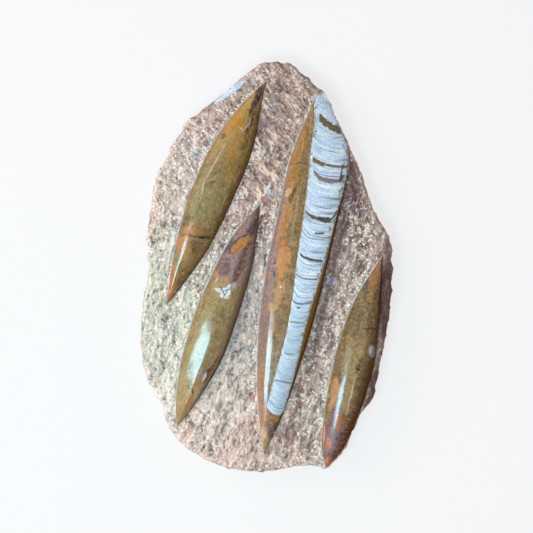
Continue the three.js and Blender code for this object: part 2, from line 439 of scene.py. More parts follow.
def stain_group():
    """A ragged oval patch on the plate, as a node group: 1 inside it, 0 outside. With a ring
    above 0 only its edge is 1."""
    found = bpy.data.node_groups.get("Oval stain")
    if found:
        return found
    inputs = [(label, "Vector") for label in ("Place", "Wander", "Middle", "Half Size")]
    inputs += [(label, "Float") for label in ("Turn", "Ragged", "Soft", "Ring")]
    tree, wire, given = new_group("Oval stain", "ShaderNodeTree", ("Mask", "Float"), inputs)
    moved = wire.vector("ADD", given["Place"], wire.scaled(given["Wander"], given["Ragged"]))
    away = wire.flat(wire.vector("SUBTRACT", moved, given["Middle"]))
    turned = wire.turned(away, wire.times(given["Turn"], -1.0))
    reach = wire.vector("LENGTH", wire.vector("DIVIDE", turned, given["Half Size"]))
    low, high = wire.minus(1.0, given["Soft"]), wire.plus(1.0, given["Soft"])
    solid = wire.ramp(reach, low, high, 1.0, 0.0)
    edge = wire.math("ABSOLUTE", wire.minus(reach, 1.0))
    ring = wire.ramp(edge, 0.0, wire.math("MAXIMUM", given["Ring"], 0.001), 1.0, 0.0)
    hollow = wire.math("GREATER_THAN", given["Ring"], 0.0)
    wire.add("NodeGroupOutput", {"Mask": wire.choose(hollow, solid, ring)})
    return tree


def lay_stains(wire, base, place, wander, stains):
    """Lays stains over a base colour, in order. Each is (x, y, half length, half breadth,
    degrees anticlockwise, colour, strength, and then ragged, soft and ring if they differ)."""
    for x, y, long, short, turn, tint, strength, *rest in stains:
        inputs = {"Place": place, "Wander": wander, "Turn": math.radians(turn)}
        inputs |= {"Middle": (x, y, 0), "Half Size": (long, short, 1)}
        inputs |= zip(("Ragged", "Soft", "Ring"), (*rest, *(1.0, 0.3, 0.0)[len(rest) :]))
        mask = wire.add("ShaderNodeGroup", inputs, node_tree=stain_group()).outputs[0]
        base = wire.mix(wire.times(mask, strength), base, colour(tint))
    return base


def new_material(name, roughness):
    """A material with its wiring, its surface shader and the place on the plate in millimetres."""
    material = bpy.data.materials.new(name)
    material.use_nodes = True
    wire = Wiring(material.node_tree)
    shader = material.node_tree.nodes["Principled BSDF"]
    shader.inputs["Roughness"].default_value = roughness
    reading = wire.add("ShaderNodeTexCoord").outputs["Object"]
    return material, wire, shader, wire.scaled(reading, 1000.0)


def surface(wire, shader, tone, height, strength, distance):
    """Gives the surface shader its colour and its finest relief."""
    wire.put(shader.inputs["Base Color"], tone)
    bump = wire.add("ShaderNodeBump", {"Strength": strength, "Distance": distance, "Height": height})
    wire.put(shader.inputs["Normal"], bump.outputs[0])


# ---------------------------------------------------------------- the limestone's colours

# Wide drifts of colour in the carved ground, and dark bands of painted shadow beside the spindles, each
# as lay_stains says.
GROUND_STAINS = [
    (-84, -20, 115, 44, 91, "c3cfbe", 1, 1, 0.45),
    (-84, 78, 52, 28, 72, "c8bcb0", 0.9, 1, 0.5),
    (-99, 55, 26, 9, 92, "ccbcae", 0.8, 1.5, 0.5),
    (-48, -150, 50, 34, 25, "e0ccbe", 0.95, 1, 0.5),
    (5, -172, 46, 14, 0, "d0bfb0", 0.85, 1, 0.5),
    (-92, -114, 24, 14, -50, "e0e4d4", 0.95, 1.5, 0.4),
    (-32, -95, 55, 20, 74, "c8cac0", 0.85, 1, 0.6),
    (-12, -25, 40, 12, 78, "c6c8c0", 0.8, 1, 0.6),
    (-50, 5, 26, 12, 60, "a09c92", 0.8, 1, 0.6),
    (42, -128, 50, 18, 98, "bbb2a6", 0.75, 1, 0.6),
    (2, 150, 40, 22, 100, "b0a498", 0.5, 1, 0.6),
    # The next five rows are dark bands beside the spindles' right flanks: painted shadow.
    (-12, 30, 32, 8, 72, "66504f", 0.75, 0.6, 0.6),
    (-12, 105, 46, 6, 68, "6c5850", 0.5, 0.6, 0.7),
    (70, 66, 52, 13, 106, "6c5a5e", 0.88, 0.6, 0.6),
    (77, 28, 30, 9, 100, "7a6668", 0.6, 0.6, 0.6),
    (36, -92, 60, 6, 76, "6f5f56", 0.5, 0.6, 0.7),
    (-48, -60, 60, 5, 68, "77685e", 0.4, 0.6, 0.7),
]
# Where the chisel left few bruises: black is calm.
CALM_GROUND = [
    (16, 112, 70, 24, 102, "000000", 0.55, 2, 0.4),
    (-8, 60, 30, 12, 70, "000000", 0.7, 2, 0.4),
    (-24, -60, 76, 15, 80, "000000", 0.7, 2, 0.4),
    (-20, -155, 60, 18, 5, "000000", 0.6, 3, 0.5),
    (68, 70, 46, 9, 106, "000000", 0.55, 1, 0.5),
    (106, -35, 50, 8, 92, "000000", 0.95, 1, 0.5),
    (98, -102, 50, 9, 73, "000000", 0.95, 1, 0.5),
    (-80, 60, 16, 8, 90, "000000", 0.5, 2, 0.5),
]
# Chips of blue-white shell and slate in it; its dark margins, partly the stone's colour and partly
# painted shade; and dark bands of painted shadow beside the spindles.
GROUND_CHIPS_AND_SHADOW = [
    (1.3, 69.8, 5.5, 1.2, 62, "dbe9f4", 0.95, 0.5, 0.2),
    (4.8, 64, 3.2, 2.4, 0, "aab4c0", 0.8, 0.6),
    (56.8, -12.9, 4.5, 3.6, 30, "c3c3d6", 0.85, 0.7),
    (-72.5, 39.6, 4.2, 1.5, -35, "c3dbe4", 0.9, 0.6),
    (-81, 33, 3, 2.2, 0, "b5bfc8", 0.8, 0.6),
    (-78, 114, 5, 1.8, 10, "b8c4d2", 0.7, 0.6),
    (-61, 99, 5, 4, 40, "9aa2ae", 0.5, 1, 0.4),
    (-75.5, 7.5, 2, 2, 0, "8aa0b0", 0.7, 0.6),
    # Dark margins along the right rim: the stone's dark colour and painted shade.
    (107, -34, 52, 8.5, 92, "50241f", 0.85, 1.5, 0.35),
    (98, -108, 48, 9, 71, "50241f", 0.83, 1.5, 0.35),
    (81, -152, 20, 6, 70, "6c4c48", 0.75, 1.5, 0.35),
    # Dark bands beside the main spindle's right side: painted shadow.
    (75, 80, 24, 5, 107, "5a363e", 0.7, 1.5, 0.4),
    (63, 20, 44, 3.2, 78, "68424a", 0.65, 1.2, 0.5),
    (47, -52, 36, 2.6, 77, "705048", 0.6, 1.2, 0.5),
    (23, -135, 28, 2.2, 72, "705048", 0.6, 1.2, 0.5),
    # Dark margins at the top edge, which faces away from the light: painted shade.
    (-3, 190, 26, 5, -10, "6a5250", 0.45, 1.5, 0.5),
    (34, 168, 22, 3.5, -42, "6a5250", 0.5, 1.5, 0.5),
]
# Markings of the polished spindles: clouds first, then patches, cracks, hair lines and spots. A few pale
# lines along creases are painted highlights.
UPPER_LEFT_STAINS = [
    (-22, 130, 40, 11, 62, "b08e48", 0.75, 1.5, 0.5),
    (-24, 98, 40, 7, 66, "9a742c", 0.6, 1.5, 0.5),
    (-27, 128, 12, 5, 60, "b07c1c", 0.7, 2.5, 0.5),
    (-24, 124, 6, 4, 40, "bd8014", 0.7, 3, 0.5),
    (-34, 118, 7, 4, 60, "b27a3a", 0.75, 2, 0.4),
    (-28, 102, 9, 4, 66, "a8752f", 0.6, 1.5, 0.5),
    (-7, 151, 12, 2.8, 76, "351528", 1, 1.2),
    (-12.5, 139, 8, 2, 62, "401e2c", 0.9, 1.5),
    (-13, 128, 10, 2, 70, "4c2a20", 0.8, 1, 0.4),
    (-15, 118, 22, 2.2, 70, "5a3024", 0.6, 1.5, 0.4),
    (-52, 62, 26, 12, 66, "8d8257", 0.7, 1.5, 0.5),
    # Pale lines along the creases: painted highlights.
    (-44.5, 91.5, 23, 0.6, 61.4, "cfc4b8", 0.6, 0.15, 0.5),
    (-56.2, 66, 7.5, 0.6, 79, "cfc4b8", 0.6, 0.15, 0.5),
    (-25.2, 79.4, 8, 0.55, 70, "b9a68c", 0.55, 0.15, 0.5),
    (-36.2, 59.7, 7.6, 0.55, 66, "b9a68c", 0.55, 0.15, 0.5),
    (-37.7, 113.7, 2.1, 2.8, 0, "5e3226", 0.9, 0.8),
    (-67.3, 33.7, 3.8, 6, -10, "b87a30", 0.85, 1.4),
    (-59, 31, 6, 3.5, -30, "a06a34", 0.6, 1.4, 0.4),
    (-71.2, 37.4, 2.6, 1.9, 30, "454a32", 0.9, 1.2),
    (-68.4, 42.2, 3, 1.8, 45, "454a32", 0.85, 1.2),
    (-72, 20, 6, 13, -12, "b57a3e", 0.75, 1.4),
    (-60.6, 16.1, 4.4, 8, -24, "6b4a26", 0.65, 1.4, 0.4),
    (-84, -14, 17, 3.2, 83, "ba6a30", 0.85, 0.6),
    (-73, -8, 15, 4.5, 66, "7b542c", 0.6, 1, 0.5),
    (-70, 28, 5.5, 1.2, -8, "a8502c", 0.9, 0.8, 0.4),
    (-63, 17, 3.2, 5.5, -10, "5e4228", 0.7, 1.2, 0.35),
    (-75, -12.5, 6.5, 3.2, 62, "5e4228", 0.7, 1, 0.35),
    (-60, 26, 14, 0.9, -5, "3c1a12", 0.9, 0.6, 0.4),
    (-53.5, 25.2, 5.2, 1.5, 4, "210b08", 1, 0.5),
    (-48.6, 73, 3.4, 1.5, 20, "55543c", 0.75, 0.8, 0.4),
    (-47.5, 76.5, 4.8, 0.6, 33, "c59a70", 0.7, 0.2, 0.4),
    (-22.6, 121, 3.4, 0.6, -35, "c9bdb4", 0.8, 0.2, 0.4),
    (-17.6, 122.2, 3.2, 0.6, 54, "c9bdb4", 0.8, 0.2, 0.4),
    (-20.2, 119.3, 1.5, 0.6, 8, "c9bdb4", 0.8, 0.2, 0.4),
    (-14.6, 126.5, 3.8, 0.6, 78, "c9bdb4", 0.8, 0.2, 0.4),
]
LOWER_LEFT_STAINS = [
    (-62, -70, 60, 5, 68, "a29464", 0.5, 1.5, 0.5),
    (-67, -116, 22, 7, 68, "bc9c70", 0.6, 1.5, 0.5),
    (-21, 20, 42, 17, 69, "8e7274", 0.95, 1.6, 0.1),
    (-12, 38, 26, 8, 62, "8a6a66", 0.5, 1, 0.4),
    (-38, 0, 7, 9, 30, "6e5560", 0.9, 1.6, 0.15),
    (-13, 32, 30, 3.4, 70, "452a2e", 0.8, 1, 0.4),
    (-24, -3, 14, 3, 66, "4a2a24", 0.75, 1, 0.4),
    (-45, -5, 6, 1.8, 50, "bd7c3c", 0.6, 1.8),
    (-37, -11.5, 12, 1.4, -20, "b77f4c", 0.65, 1.8, 0.5),
    (-34.6, 18.5, 2.2, 10, -30, "3a4252", 0.8, 0.5),
    (-24.5, 19.5, 11.6, 4.9, 40, "333a4a", 0.85, 0.3, 0.1),
    (-23.1, 19, 10.2, 4.1, 39.6, "b0713a", 1, 0.25, 0.08),
    (-16, 24, 4.5, 3, 40, "a5814c", 0.6, 0.4, 0.4),
    (-39, -19.5, 8, 7, 0, "b49a62", 0.45, 2, 0.4),
    (-36.2, -23.6, 4.8, 5, 30, "d8e8ec", 1, 1.2, 0.15),
    (-41.5, -20.6, 4.4, 1.5, -22, "cfdcd8", 0.95, 1, 0.25),
    (-33.4, -18.4, 1.4, 3.4, -20, "d8e8ec", 0.9, 0.6, 0.25),
    (-36, -24, 5.4, 0.6, 62, "5f6c6c", 0.9, 0.6, 0.35),
    (-38.5, -21.5, 4.4, 0.55, 118, "5f6c6c", 0.9, 0.6, 0.35),
    (-35, -21, 4, 0.5, 10, "6f7a74", 0.8, 0.6, 0.35),
    (-33, -27, 3, 0.9, 0, "d5b08c", 0.6, 0.6, 0.4),
    (-28.5, -16.4, 2.8, 2.8, 0, "a3a89c", 0.85, 0.3, 0.25),
    (-43.6, -12, 2.2, 0.7, 70, "c7c2b0", 0.8, 0.3),
    (-60.3, -91.7, 3, 5.4, -20, "a28a80", 0.8, 1, 0.35),
    (-52, -95.5, 2.4, 8, -28, "4a241c", 0.85),
    (-54.7, -97.5, 0.9, 5, -24, "c9cfe4", 0.95, 0.8),
    (-60, -101, 5, 3, 40, "a8703c", 0.6, 1.6, 0.4),
    (-46.5, -87, 1.2, 9.5, -30, "4a1c16", 0.85, 0.5, 0.4),
    (-66, -107, 2.6, 0.7, -10, "2c2818", 0.95, 0.4),
    (-64.6, -109.5, 0.7, 2.6, 10, "2c2818", 0.9, 0.4),
    (-67.5, -117.9, 2.8, 4.5, -20, "b87438", 0.75, 1, 0.5),
    (-70, -127, 9, 6, 70, "9a6c34", 0.6, 1.4, 0.5),
]
MAIN_STAINS = [
    (-1.5, -60, 112, 7.5, 88, "8a7270", 0.9, 1.6, 0.15),
    (7, 20, 60, 5.5, 81, "8a7072", 0.85, 1.6, 0.2),
    (24, 100, 50, 2.6, 72, "9c8272", 0.6),
    (30, 103, 20, 2.4, 79, "a8701f", 0.8, 2.5, 0.4),
    (24, 80, 17, 4.5, 76, "a46a24", 0.75, 3.5),
    (20.5, 55, 20, 4.5, 78, "b8864e", 0.75, 3.5),
    (14, 32, 20, 3.6, 82, "ab7444", 0.8, 3),
    (13.6, 3, 18, 4.6, 84, "c88a54", 0.9, 3, 0.2),
    (9.6, -26, 22, 3.2, 80, "c6925e", 0.8, 3),
    (3.6, -62, 26, 2.4, 82, "b58656", 0.8, 2.5),
    (-3.5, -112, 30, 3.6, 91, "b07a50", 0.8, 3),
    (49, 30, 116, 6.5, 78.5, "6b4c22", 0.85),
    (30, -62, 70, 5, 75, "7a5c2e", 0.7),
    (22.8, 62.5, 8, 2, 68, "5c3c20", 0.9, 1, 0.35),
    (18.5, 64.5, 4, 2.2, 64, "c4aa9a", 0.85, 0.9),
    # A pale line along a crease: painted highlight.
    (25, 45, 26, 0.6, 80, "b6a08c", 0.55, 0.6, 0.5),
    (31.5, 90, 4.6, 0.6, -4, "4e3c2a", 0.85, 0.4, 0.4),
    (14.6, 20.6, 2.8, 3, 0, "c07440", 0.7, 0.6),
    (14.6, 20.6, 3, 3.2, 0, "6a4a30", 0.8, 0.6, 0.3, 0.2),
    (6.6, 3.2, 1.7, 2.2, 0, "3a506c", 0.9, 0.9),
    (5.8, -6, 2.6, 2.6, 0, "3a506c", 0.9, 0.9),
    (3, -13, 1.2, 4, -10, "6a6878", 0.8, 0.9),
    (0.9, -7.6, 3, 4.2, -10, "a8683a", 0.8, 0.8),
    (12.2, -17.9, 0.9, 1.2, 0, "dfe6e8", 0.9, 0.2),
    (6, -133.5, 10, 3, 10, "a87838", 0.85, 0.8),
    (4.5, -143, 7.5, 8, 20, "643c42", 0.95, 1.2, 0.2),
    (5.5, -137, 8, 0.9, 8, "a87838", 0.7, 0.8, 0.4),
    (6.5, -146, 0.9, 0.9, 0, "d8c8bc", 0.9, 0.3),
    (-5.5, -139, 1.8, 8, 0, "b4703a", 0.8, 0.8),
    (-2.5, -154, 13, 5, 95, "d8b48c", 0.85, 1.2),
    (-1.5, -157, 10, 2.5, 70, "8f6e3c", 0.7),
]
RIGHT_STAINS = [
    (84, -60, 40, 5, 76, "8a7850", 0.4, 2, 0.4),
    (71, -82, 16, 4, 78, "a89a70", 0.5, 2, 0.5),
    (76, -95, 40, 4, 74, "a98c5a", 0.45, 2, 0.4),
    (92, -50, 50, 3.5, 80, "6b4a2c", 0.7, 1.5, 0.4),
    (80, -118, 36, 4, 70, "6a3c24", 0.7, 1.5, 0.4),
    # A pale line along a crease: painted highlight.
    (73.8, -112, 15, 0.5, 75.5, "d2c6ae", 0.7, 0.4, 0.5),
    # A darker band on the right facet: painted shade.
    (85, -108, 22, 4.4, 74, "544822", 0.75, 0.8),
    (93, -74.5, 3.2, 5.4, 8, "bcc0ca", 0.95, 0.6, 0.25),
    (97, -8, 22, 5, 72, "94603a", 0.85, 1.2),
    (87.3, -18.7, 2.8, 5.5, -25, "67504a", 0.85, 0.9),
    (89.7, -27.3, 5.6, 4.2, 75, "4c4c44", 0.7, 0.4, 0.1),
    (90.6, -27.3, 5, 3.5, 75, "8c6f38", 0.9, 0.4, 0.2),
    (90.6, -27.3, 5.3, 4.2, 75, "3c362c", 0.85, 0.4, 0.3, 0.2),
    (81, -39, 7, 4, 10, "4a3c20", 0.8, 0.6, 0.3, 0.18),
    (91, -54.5, 6, 1.1, -6, "4a2c20", 0.85, 1, 0.4),
    (79.4, -88.5, 3.4, 2, 60, "1f1a10", 0.95, 1.4),
    (83, -82, 3, 1.6, 60, "554a1c", 0.6, 0.9, 0.4),
    (78.5, -93, 1, 1.4, 60, "1f1a10", 0.9, 0.5),
    (58.5, -111, 15, 4.2, 80, "b98858", 0.75, 2.4, 0.25),
    (58.5, -147, 24, 8, 80, "76565a", 0.9, 1.5, 0.2),
    (68, -151, 24, 3.8, 62, "5c2418", 0.9, 1, 0.35),
    (64, -133, 3.4, 6, -20, "a8602c", 0.85),
    (62.5, -141.5, 2, 3, 0, "b35a28", 0.9, 0.8),
    (54.3, -155, 1.9, 5.4, 0, "c46a34", 0.95, 0.4, 0.2),
    (50.4, -147, 0.9, 8, -4, "cf927a", 0.8, 0.3),
    (61.5, -150.3, 1.9, 1.5, 0, "262f4e", 0.95, 0.6),
    (65, -147.2, 2, 2, 0, "3c3330", 0.85, 0.8, 0.4),
    (55, -164.5, 1.2, 1.4, 0, "2c3550", 0.9, 0.4),
    (53, -173, 5.5, 4, 60, "b0562a", 0.95, 0.6),
]


def rock_colour(wire, place, wander, base, mottle, seed):
    """A base colour that drifts into another in soft clouds."""
    cloud = wire.noise(wire.vector("ADD", place, wander), 14.0, 4.0, 0.6, seed)[0]
    return wire.mix(wire.ramp(cloud, 0.4, 0.62), colour(base), colour(mottle))


def polished_limestone(name, base, mottle, flank_shade, stains, seed, dull_from, roughness):
    """Polished limestone: clouds, stains, streaks along the grain, grit and a right flank darkened with
    painted shade.
    The polish is worn, and the flank's painted shade fades, beyond dull_from, in millimetres from the
    head."""
    material, wire, shader, place = new_material(name, roughness)

    def noise(size, detail, rough, shift, point=place):
        return wire.noise(point, size, detail, rough, seed + shift)

    swirl = noise(9.0, 3.0, 0.55, 0)[1]
    wander = wire.moved((0.0, 0.0, 0.0), (swirl, 6.5), (noise(2.4, 2.0, 0.5, 3)[1], 1.6))
    tone = rock_colour(wire, wire.flat(place), wander, base, mottle, seed)
    patch = noise(6.0, 4.0, 0.65, 5)[0]
    tone = wire.tints(tone, (patch, 0.5, 0.66, 0.6, "ab8a56"), (patch, 0.46, 0.34, 0.5, "665230"))
    tone = lay_stains(wire, tone, place, wander, stains)
    fleck = noise(2.8, 4.0, 0.7, 19)[0]
    tone = wire.tints(tone, (fleck, 0.5, 0.66, 0.4, "bfa070"), (fleck, 0.48, 0.34, 0.5, "523c26"))

    # Streaks and hair lines run along the spindle, as "grain" does.
    grain = wire.attribute("grain", "Vector")
    drift = wire.moved(grain, (swirl, 2.0))
    streak = noise(1.8, 4.0, 0.65, 7, wire.vector("MULTIPLY", drift, (1.0, 0.1, 0.0)))[0]
    dark = wire.mix(1.0, tone, colour("95826c"), "MULTIPLY")
    tone = wire.mix(wire.ramp(streak, 0.54, 0.72, 0.0, 0.6), tone, dark)
    hair = noise(0.8, 1.0, 0.5, 8, wire.vector("MULTIPLY", drift, (1.0, 0.02, 0.0)))[0]
    grit = noise(1.1, 3.0, 0.75, 11)[0]
    tone = wire.tints(
        tone,
        (hair, 0.66, 0.74, 0.35, "d8c09a"),
        (grit, 0.52, 0.72, 0.45, "d6b480"),
        (grit, 0.48, 0.28, 0.55, "3a2c1c"),
    )

    # The right flank, darkened with painted shade, and the feet, which "across" finds: -1 and 1 are the
    # left and right foot.
    # The right foot gets a dark line of painted shadow. The left foot gets a pale line, partly the
    # lighter cut wall and partly painted light.
    across = wire.attribute("across")
    wavy = wire.plus(across, wire.swing(noise(5.0, 4.0, 0.6, 13)[0], 0.5))
    wear_and_crest_highlight = wire.ramp(wire.split(grain)[1], dull_from, dull_from + 14)
    reach = wire.times(wire.ramp(wavy, 0.55, 0.85, 0.0, 0.65), wire.ramp(wear_and_crest_highlight, 0.0, 1.0, 1.0, 0.2))
    # Painted shade: the right flank darkened, less so where the polish is worn.
    tone = wire.mix(reach, tone, colour(flank_shade))
    # Painted shadow along the right foot; along the left foot a pale line, the lighter cut wall with
    # painted light.
    tone = wire.tints(tone, (across, 0.93, 0.98, 0.75, "422022"), (across, -0.93, -0.98, 0.32, "c4b8a4"))
    wire.put(shader.inputs["Specular IOR Level"], wire.ramp(across, 0.6, 0.82, 0.58, 0.0))
    shader.inputs["Specular Tint"].default_value = (0.8, 0.95, 1.0, 1)
    wire.put(shader.inputs["Roughness"], wire.ramp(wear_and_crest_highlight, 0.0, 1.0, roughness, 0.42))
    surface(wire, shader, tone, noise(0.7, 3.0, 0.6, 17)[0], 0.05, 0.0003)
    return material


def chiselled_limestone(peck_size):
    """The carved ground: crests lightened with a painted highlight, hollows and chisel pits darkened
    with painted shade, patches of many tints, white bruises, and dark bands of painted shadow beside the
    spindles.
    """
    material, wire, shader, place = new_material("chiselled_limestone", 0.85)
    flat = wire.flat(place)
    swirl = wire.noise(place, 14.0, 3.0, 0.6, 1.0)[1]
    flick = wire.noise(place, 2.2, 3.0, 0.65, 2.0)[1]
    wander = wire.moved((0.0, 0.0, 0.0), (swirl, 9.0), (flick, 2.0))
    jittered = wire.moved(place, (flick, 3.0))
    carved = wire.attribute("carved")  # 0 on the wall, 1 on the face, and more on each spindle's lit left side, where pale crumbs and painted light go
    on_face = wire.math("MULTIPLY", carved, 1.0, clamp=True)

    # Patches of other tints, then the shade of each broken face.
    tone = rock_colour(wire, place, wander, "ae9c90", "c0b0a6", 4.0)
    tone = lay_stains(wire, tone, place, wander, GROUND_STAINS)
    for size, low, high, strength, tint, seed in (
        (13.0, 0.54, 0.64, 0.4, "cba990", 6.0),
        (13.0, 0.45, 0.36, 0.45, "a4a894", 6.0),
        (9.0, 0.57, 0.66, 0.55, "949eae", 7.0),
        (5.0, 0.58, 0.67, 0.6, "c08866", 7.5),
        (5.0, 0.4, 0.32, 0.75, "c8b878", 7.5),
    ):
        patch = wire.noise(place, size, 4.0, 0.62, seed)[0]
        tone = wire.tints(tone, (patch, low, high, strength, tint))
    shade = wire.times(wire.minus(face_shade(wire, jittered, 6.5), 0.43), 0.3)
    tone = wire.scaled(tone, wire.plus(wire.times(shade, on_face), 1.0))

    # Painted shade in the hollows and a painted highlight on the crests of the relief, which the carving
    # left as "relief"; then dark chisel pits, painted shade as well.
    relief = wire.attribute("relief")
    ridges = chisel_run(wire, jittered, 2.4, 3.0, 0.6, 8.0)
    rise = wire.plus(relief, wire.swing(ridges, 2.0))
    quiet = wire.minus(1.0, lay_stains(wire, colour("ffffff"), place, wander, CALM_GROUND))
    # Painted shade: the hollows darkened.
    dark = wire.mix(0.75, tone, colour("4a2f28"))
    tone = wire.mix(wire.ramp(rise, -0.05, -0.8, 0.0, 0.85), tone, dark)
    # Painted highlight: the crests lightened, more so where the ground is calm.
    wear_and_crest_highlight = wire.times(wire.ramp(rise, 0.1, 0.7), wire.ramp(quiet, 0.0, 1.0, 0.55, 0.9))
    tone = wire.mix(wear_and_crest_highlight, tone, colour("f6ead6"))
    tone = wire.vector("MULTIPLY", tone, (1.05, 0.92, 0.92))
    # Painted shade: dark strokes for shaded chisel pits.
    pit_shade, deep = peck_marks(wire, wire.moved(flat, (flick, 3.5)), 4.2, 0.42, 0.17, 5.0)
    deep = wire.plus(deep, wire.swing(wire.noise(flat, 9.0, 3.0, 0.6, 9.0)[0], 2.0))
    pit_shade = wire.times(wire.times(pit_shade, on_face), wire.ramp(deep, 0.68, 0.78, 0.0, 0.6))
    tone = wire.mix(pit_shade, tone, colour("4a2c24"))

    # Bruises where the point struck, in crowds.
    loose = wire.moved(flat, (flick, 1.6))
    push = wire.swing(wire.noise(flat, 8.0, 4.0, 0.65, 12.0)[0], 0.55)
    push = wire.plus(push, wire.times(relief, 0.06))
    push = wire.minus(push, wire.times(quiet, 0.12))
    push = wire.plus(push, wire.times(wire.ramp(carved, 1.0, 1.5), 0.08))
    small = wire.ramp(wire.plus(wire.noise(loose, 1.9, 2.0, 0.6, 11.0)[0], push), 0.56, 0.64)
    wide, fate = peck_marks(wire, loose, peck_size, 0.5, 0.24, 1.0)
    wide = wire.times(wide, wire.ramp(wire.plus(fate, wire.times(push, 4.0)), 0.45, 0.6))
    bruise = wire.math("MAXIMUM", wide, wire.times(small, 0.85))
    bruise = wire.times(bruise, wire.times(on_face, wire.ramp(quiet, 0.0, 1.0, 0.95, 0.7)))
    tone = wire.mix(bruise, tone, wire.mix(fate, colour("fffdf6"), colour("f1e2d2")))
    # Chips of shell; dark margins, partly the stone's colour and partly painted shade; dark bands of
    # painted shadow beside the spindles; and a pale line of crumbs with painted light on each spindle's
    # lit left side.
    chips = lay_stains(wire, tone, place, wander, GROUND_CHIPS_AND_SHADOW)
    chips = wire.tints(chips, (carved, 1.45, 1.9, 0.7, "d6d8da"))
    tone = wire.mix(on_face, tone, chips)
    height = wire.plus(wire.noise(place, 1.4, 5.0, 0.7, 14.0)[0], wire.times(ridges, 1.2))
    surface(wire, shader, tone, height, 0.9, 0.0014)
    return material


# ---------------------------------------------------------------- settings


def number(name, description, default, **more):
    """A setting that is a number."""
    return bpy.props.FloatProperty(name=name, description=description, default=default, **more)


def length(name, description, default):
    """A setting in metres."""
    return number(name, description, default, unit="LENGTH")


class CarvingSettings(bpy.types.PropertyGroup):
    """Sizes of the chiselled ground and of the polish."""

    peck_size: length("Peck spacing", "Distance between chisel strokes", 0.0034)
    peck_depth: length("Peck depth", "Depth of a chisel stroke", 0.0007)
    swell: length("Swell", "Height of the ground's slow swells", 0.0007)
    corner_spacing: length("Corner spacing", "Distance between the ground's corners", 0.00078)
    rim_breadth: length("Rim breadth", "How far in the rounded rim reaches", 0.0035)
    rim_drop: length("Rim drop", "How far the rim falls", 0.0035)
    polish_roughness: number("Polish roughness", "Roughness of the polished stone", 0.17, min=0, max=1)
    seed: bpy.props.IntProperty(name="Seed", description="Chooses the chisel marks", default=3, min=0)


# ---------------------------------------------------------------- the matrix


def carving_tree(material):
    """Geometry nodes that carve the ground: chisel strokes, chips and slow swells."""
    inputs = [
        ("Geometry", "Geometry"),
        ("Peck Spacing", "Float", 3.4),
        ("Peck Depth", "Float", 0.7),
        ("Chip Height", "Float", 1.9),
        ("Seed", "Int", 3),
    ]
    tree, wire, given = new_group("Chisel carving", "GeometryNodeTree", ("Geometry", "Geometry"), inputs)
    point = wire.scaled(wire.add("GeometryNodeInputPosition").outputs[0], 1000.0)
    seed = wire.times(given["Seed"], 0.37)
    stroke = peck_marks(wire, wire.flat(point), given["Peck Spacing"], 0.5, 0.25, 1.0)[0]
    cells = {"Vector": point, "W": seed, "Scale": 1 / 3.4}
    chips = wire.add("ShaderNodeTexVoronoi", cells, voronoi_dimensions="4D").outputs["Distance"]
    facets = wire.times(wire.minus(0.5, chips), 0.7)
    lumps = wire.swing(chisel_run(wire, point, 6.0, 4.0, 0.6, seed), 3.5)
    fine = wire.swing(wire.noise(point, 1.5, 2.0, 0.6, seed)[0], 0.8)
    worms = chisel_run(wire, point, 7.0, 2.0, 0.55, wire.plus(seed, 5.0))
    crest = wire.ramp(wire.math("ABSOLUTE", wire.minus(worms, 0.5)), 0.0, 0.07, 0.45, -0.1)
    relief = wire.plus(wire.plus(facets, lumps), wire.plus(fine, crest))
    dents = wire.times(stroke, given["Peck Depth"])
    height = wire.minus(wire.times(relief, given["Chip Height"]), dents)
    freedom = wire.add("GeometryNodeInputNamedAttribute", {0: "freedom"}, data_type="FLOAT").outputs[0]
    height = wire.times(wire.times(height, freedom), MM)
    inputs = {"Geometry": given["Geometry"], "Name": "relief", "Value": relief}
    noted = wire.add("GeometryNodeStoreNamedAttribute", inputs, data_type="FLOAT", domain="POINT")
    normal = wire.add("GeometryNodeInputNormal").outputs[0]
    inputs = {"Geometry": noted.outputs[0], "Offset": wire.scaled(normal, height)}
    moved = wire.add("GeometryNodeSetPosition", inputs)
    realized = wire.add("GeometryNodeRealizeInstances", {0: moved.outputs[0]})
    finished = wire.add("GeometryNodeSetMaterial", {"Geometry": realized.outputs[0]})
    finished.inputs["Material"].default_value = material
    wire.add("NodeGroupOutput", {0: finished.outputs[0]})
    return tree


def apply_nodes(piece, tree, values):
    """Runs a geometry-nodes tree on a piece and keeps its result as the piece's plain mesh."""
    modifier = piece.modifiers.new("Nodes", "NODES")
    modifier.node_group = tree
    for item in tree.interface.items_tree:
        if item.in_out == "INPUT" and item.name in values:
            modifier[item.identifier] = values[item.name]
    graph = bpy.context.evaluated_depsgraph_get()
    mesh = bpy.data.meshes.new_from_object(piece.evaluated_get(graph), depsgraph=graph)
    piece.modifiers.remove(modifier)
    old = piece.data
    piece.data = mesh
    mesh.name = old.name
    bpy.data.meshes.remove(old)


def nearest_distance(points, loop):
    """Distance from each point to the nearest point of a loop, on the flat."""
    tree = KDTree(len(loop))
    for i, (x, y) in enumerate(loop):
        tree.insert((x, y, 0), i)
    tree.balance()
    return np.array([tree.find((x, y, 0))[2] for x, y in points])


def footprint(lie, step):
    """A spindle's outline on the plate, a tuck inside its real one, as points a step apart."""
    shares = np.linspace(0, 1, int(lie.length / step))
    sides = []
    for sign, breadth in zip((-1, 1), lie.breadths(shares)):
        inner = breadth - TUCK
        keep = inner > 0.2
        sides.append(np.c_[lie.plan(shares[keep], sign * inner[keep])])
    return np.vstack(sides)


